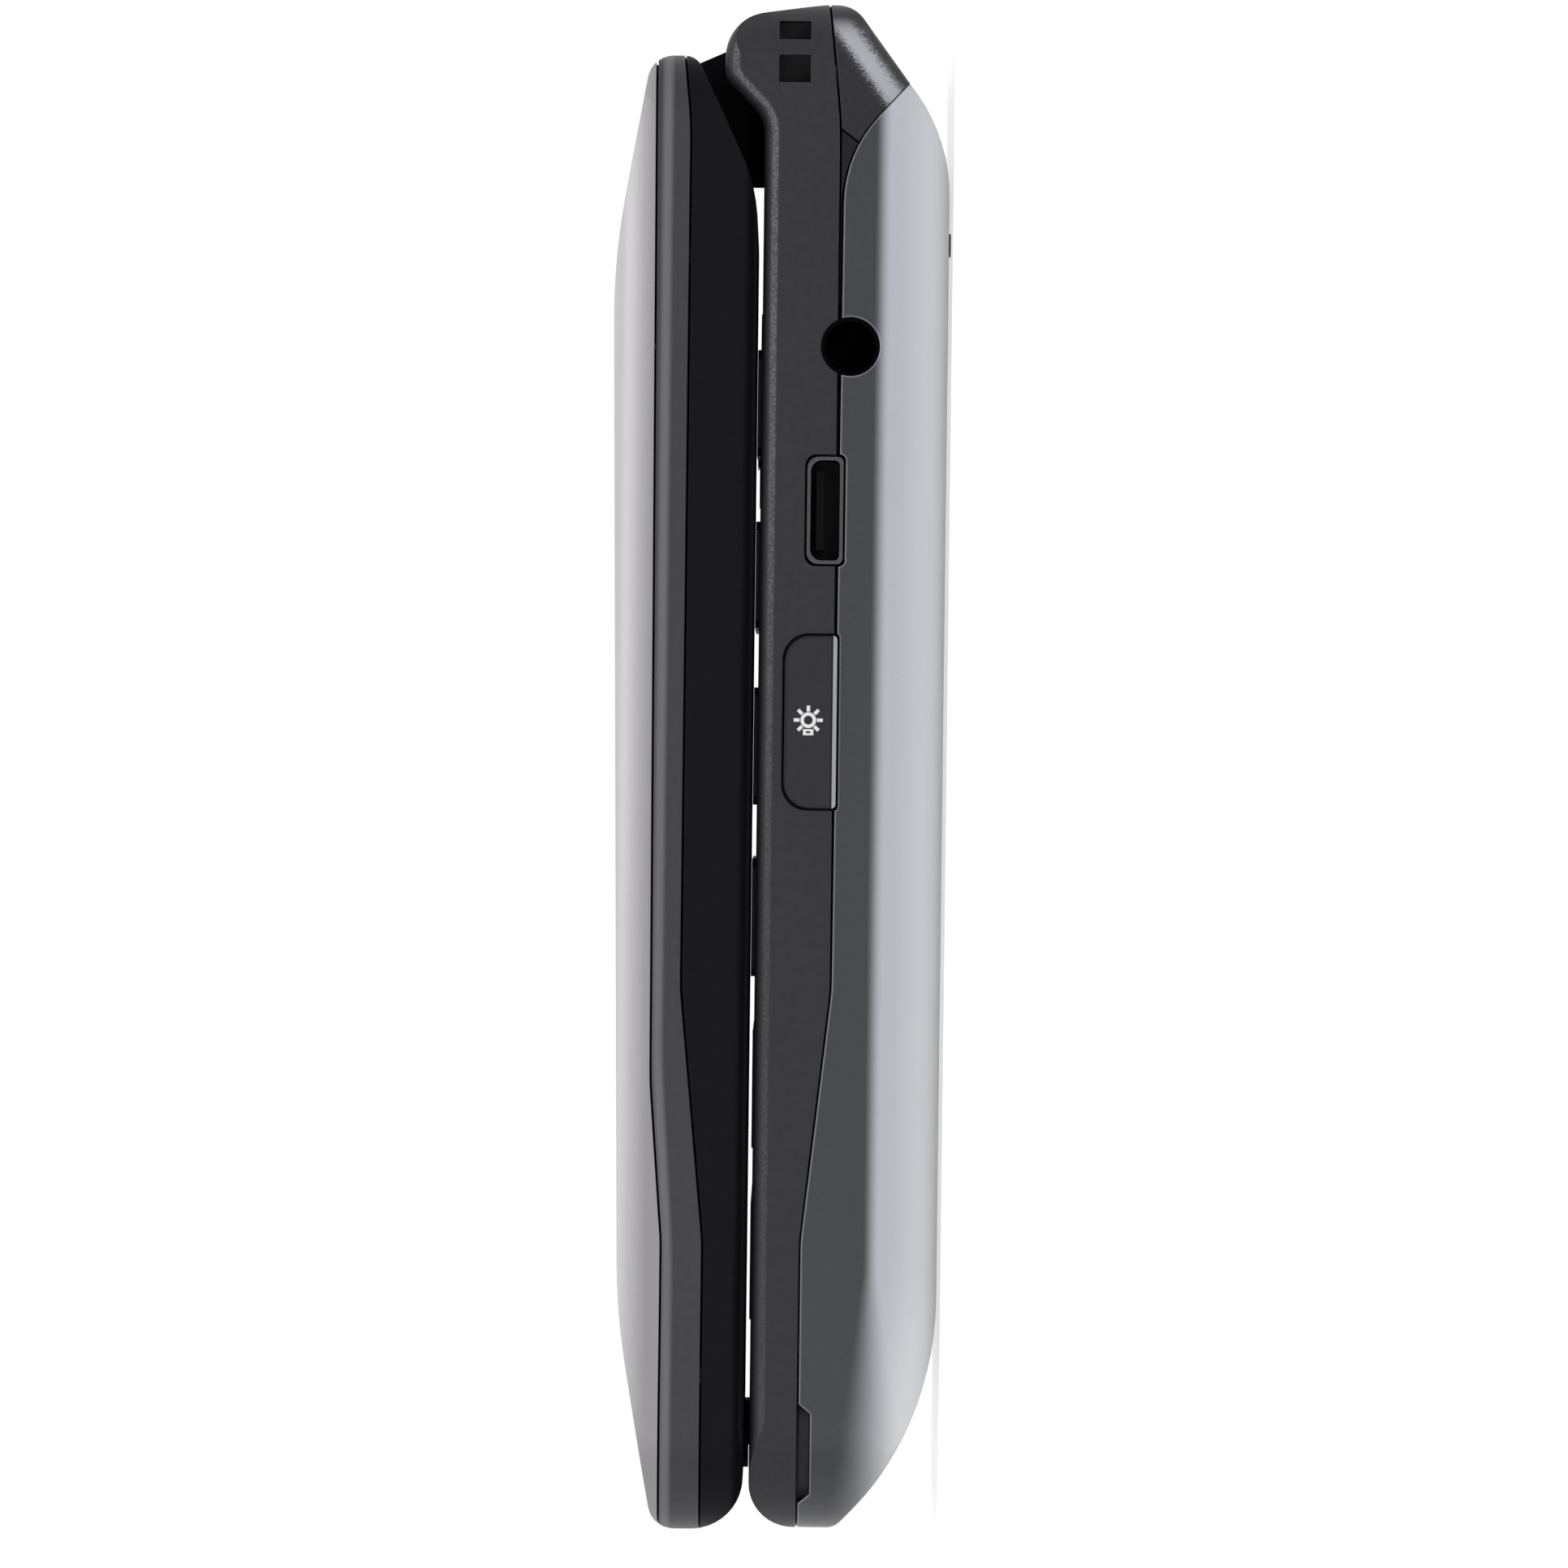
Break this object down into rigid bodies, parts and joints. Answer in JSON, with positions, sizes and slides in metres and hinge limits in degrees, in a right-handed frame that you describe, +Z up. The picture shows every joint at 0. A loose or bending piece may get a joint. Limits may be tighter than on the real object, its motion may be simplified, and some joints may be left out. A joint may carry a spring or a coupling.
{
  "type": "flip phone",
  "caption": "Clamshell mobile phone, lying closed on its back, with hinged lid, pressable keys and side buttons, side sockets, strap eyelet and lift-off battery cover.",
  "frame": {"origin": "middle of the footprint, on the surface the closed phone lies on", "axes": "+Z up out of the lid, +Y towards the hinge, +X towards the side with the sockets and torch button"},
  "size_m": [0.0556, 0.107, 0.0236],
  "materials": {
    "silver_paint": "silver metallic paint on moulded plastic",
    "frame_grey": "satin dark grey",
    "shell_grey": "fine matte texture",
    "lid_black": "satin black",
    "frame_black": "matte black",
    "cap_grey": "fine spark-eroded texture",
    "soft_rubber": "soft matte rubber",
    "window_glass": "tinted clear window",
    "display_panel": "dark display face",
    "circuit_board": "solder-masked board",
    "steel": "plain stamped steel",
    "gold_contact": "gold-plated strip",
    "battery_wrap": "printed-free battery wrap",
    "module_black": "black moulding",
    "lamp_lens": "clear lens",
    "lamp_yellow": "light-emitting chip",
    "dome_film": "translucent film",
    "key_plastic": "satin black key caps",
    "button_plastic": "satin dark grey"
  },
  "bodies": {
    "base": {"base_front_shell": "shell_grey", "rear_frame": "frame_black", "top_cap": "cap_grey", "antenna": "gold_contact", "base_screws": "steel", "battery": "battery_wrap", "battery_contacts": "gold_contact", "main_board": "circuit_board", "key_dome_sheet": "dome_film", "shield_cans": "steel", "sim_holder": "steel", "vibration_motor": "steel", "microphone": "steel", "camera_module": "module_black", "torch_lens": "lamp_lens", "torch_lamp": "lamp_yellow", "loudspeaker": "module_black", "usb_socket": "steel", "usb_tongue": "module_black", "headset_jack": "module_black", "torch_switch": "module_black", "volume_switches": "module_black", "hinge_cartridge": "steel", "hinge_sleeve": "steel"},
    "lid": {"lid_inner_shell": "lid_black", "lid_outer_shell": "frame_grey", "lid_front_panel": "silver_paint", "main_window": "window_glass", "main_display": "display_panel", "lid_board": "circuit_board", "small_display": "display_panel", "small_window": "window_glass", "earpiece": "steel", "lid_magnet": "steel", "lid_bumpers": "soft_rubber", "lid_screws": "steel"},
    "cover": {"battery_cover": "silver_paint", "rest_nubs": "soft_rubber"},
    "torch_button": {"torch_button": "button_plastic"},
    "volume_rocker": {"volume_rocker": "button_plastic"},
    "key_1": {"key_1": "key_plastic"},
    "key_2": {"key_2": "key_plastic"},
    "key_3": {"key_3": "key_plastic"},
    "key_4": {"key_4": "key_plastic"},
    "key_5": {"key_5": "key_plastic"},
    "key_6": {"key_6": "key_plastic"},
    "key_7": {"key_7": "key_plastic"},
    "key_8": {"key_8": "key_plastic"},
    "key_9": {"key_9": "key_plastic"},
    "key_star": {"key_star": "key_plastic"},
    "key_0": {"key_0": "key_plastic"},
    "key_hash": {"key_hash": "key_plastic"},
    "call_key": {"call_key": "key_plastic"},
    "clear_key": {"clear_key": "key_plastic"},
    "end_key": {"end_key": "key_plastic"},
    "left_soft_key": {"left_soft_key": "key_plastic"},
    "right_soft_key": {"right_soft_key": "key_plastic"},
    "navigation_ring": {"navigation_ring": "key_plastic"},
    "centre_key": {"centre_key": "key_plastic"}
  },
  "joints": [
    {"name": "lid_hinge", "type": "hinge", "parent": "base", "child": "lid", "pos_m": [0, 0.05005, 0.01091], "axis": [-1, 0, 0], "range_deg": [0, 160]},
    {"name": "cover_lift", "type": "slide", "parent": "base", "child": "cover", "axis": [0, 0, -1], "range_m": [0, 0.02]},
    {"name": "torch_press", "type": "slide", "parent": "base", "child": "torch_button", "axis": [-1, 0, 0], "range_m": [0, 0.0004], "stiffness_N_per_m": 4000},
    {"name": "volume_rock", "type": "hinge", "parent": "base", "child": "volume_rocker", "pos_m": [-0.02495, 0.013, 0.0103], "axis": [0, 0, 1], "range_deg": [-1.5, 1.5], "stiffness_Nm_per_rad": 0.3},
    {"name": "key_1_press", "type": "slide", "parent": "base", "child": "key_1", "axis": [0, 0, -1], "range_m": [0, 0.0004], "stiffness_N_per_m": 4000},
    {"name": "key_2_press", "type": "slide", "parent": "base", "child": "key_2", "axis": [0, 0, -1], "range_m": [0, 0.0004], "stiffness_N_per_m": 4000},
    {"name": "key_3_press", "type": "slide", "parent": "base", "child": "key_3", "axis": [0, 0, -1], "range_m": [0, 0.0004], "stiffness_N_per_m": 4000},
    {"name": "key_4_press", "type": "slide", "parent": "base", "child": "key_4", "axis": [0, 0, -1], "range_m": [0, 0.0004], "stiffness_N_per_m": 4000},
    {"name": "key_5_press", "type": "slide", "parent": "base", "child": "key_5", "axis": [0, 0, -1], "range_m": [0, 0.0004], "stiffness_N_per_m": 4000},
    {"name": "key_6_press", "type": "slide", "parent": "base", "child": "key_6", "axis": [0, 0, -1], "range_m": [0, 0.0004], "stiffness_N_per_m": 4000},
    {"name": "key_7_press", "type": "slide", "parent": "base", "child": "key_7", "axis": [0, 0, -1], "range_m": [0, 0.0004], "stiffness_N_per_m": 4000},
    {"name": "key_8_press", "type": "slide", "parent": "base", "child": "key_8", "axis": [0, 0, -1], "range_m": [0, 0.0004], "stiffness_N_per_m": 4000},
    {"name": "key_9_press", "type": "slide", "parent": "base", "child": "key_9", "axis": [0, 0, -1], "range_m": [0, 0.0004], "stiffness_N_per_m": 4000},
    {"name": "key_star_press", "type": "slide", "parent": "base", "child": "key_star", "axis": [0, 0, -1], "range_m": [0, 0.0004], "stiffness_N_per_m": 4000},
    {"name": "key_0_press", "type": "slide", "parent": "base", "child": "key_0", "axis": [0, 0, -1], "range_m": [0, 0.0004], "stiffness_N_per_m": 4000},
    {"name": "key_hash_press", "type": "slide", "parent": "base", "child": "key_hash", "axis": [0, 0, -1], "range_m": [0, 0.0004], "stiffness_N_per_m": 4000},
    {"name": "call_key_press", "type": "slide", "parent": "base", "child": "call_key", "axis": [0, 0, -1], "range_m": [0, 0.0004], "stiffness_N_per_m": 4000},
    {"name": "clear_key_press", "type": "slide", "parent": "base", "child": "clear_key", "axis": [0, 0, -1], "range_m": [0, 0.0004], "stiffness_N_per_m": 4000},
    {"name": "end_key_press", "type": "slide", "parent": "base", "child": "end_key", "axis": [0, 0, -1], "range_m": [0, 0.0004], "stiffness_N_per_m": 4000},
    {"name": "left_soft_key_press", "type": "slide", "parent": "base", "child": "left_soft_key", "axis": [0, 0, -1], "range_m": [0, 0.0004], "stiffness_N_per_m": 4000},
    {"name": "right_soft_key_press", "type": "slide", "parent": "base", "child": "right_soft_key", "axis": [0, 0, -1], "range_m": [0, 0.0004], "stiffness_N_per_m": 4000},
    {"name": "navigation_ring_press", "type": "slide", "parent": "base", "child": "navigation_ring", "axis": [0, 0, -1], "range_m": [0, 0.0004], "stiffness_N_per_m": 4000},
    {"name": "centre_key_press", "type": "slide", "parent": "base", "child": "centre_key", "axis": [0, 0, -1], "range_m": [0, 0.0004], "stiffness_N_per_m": 4000}
  ]
}
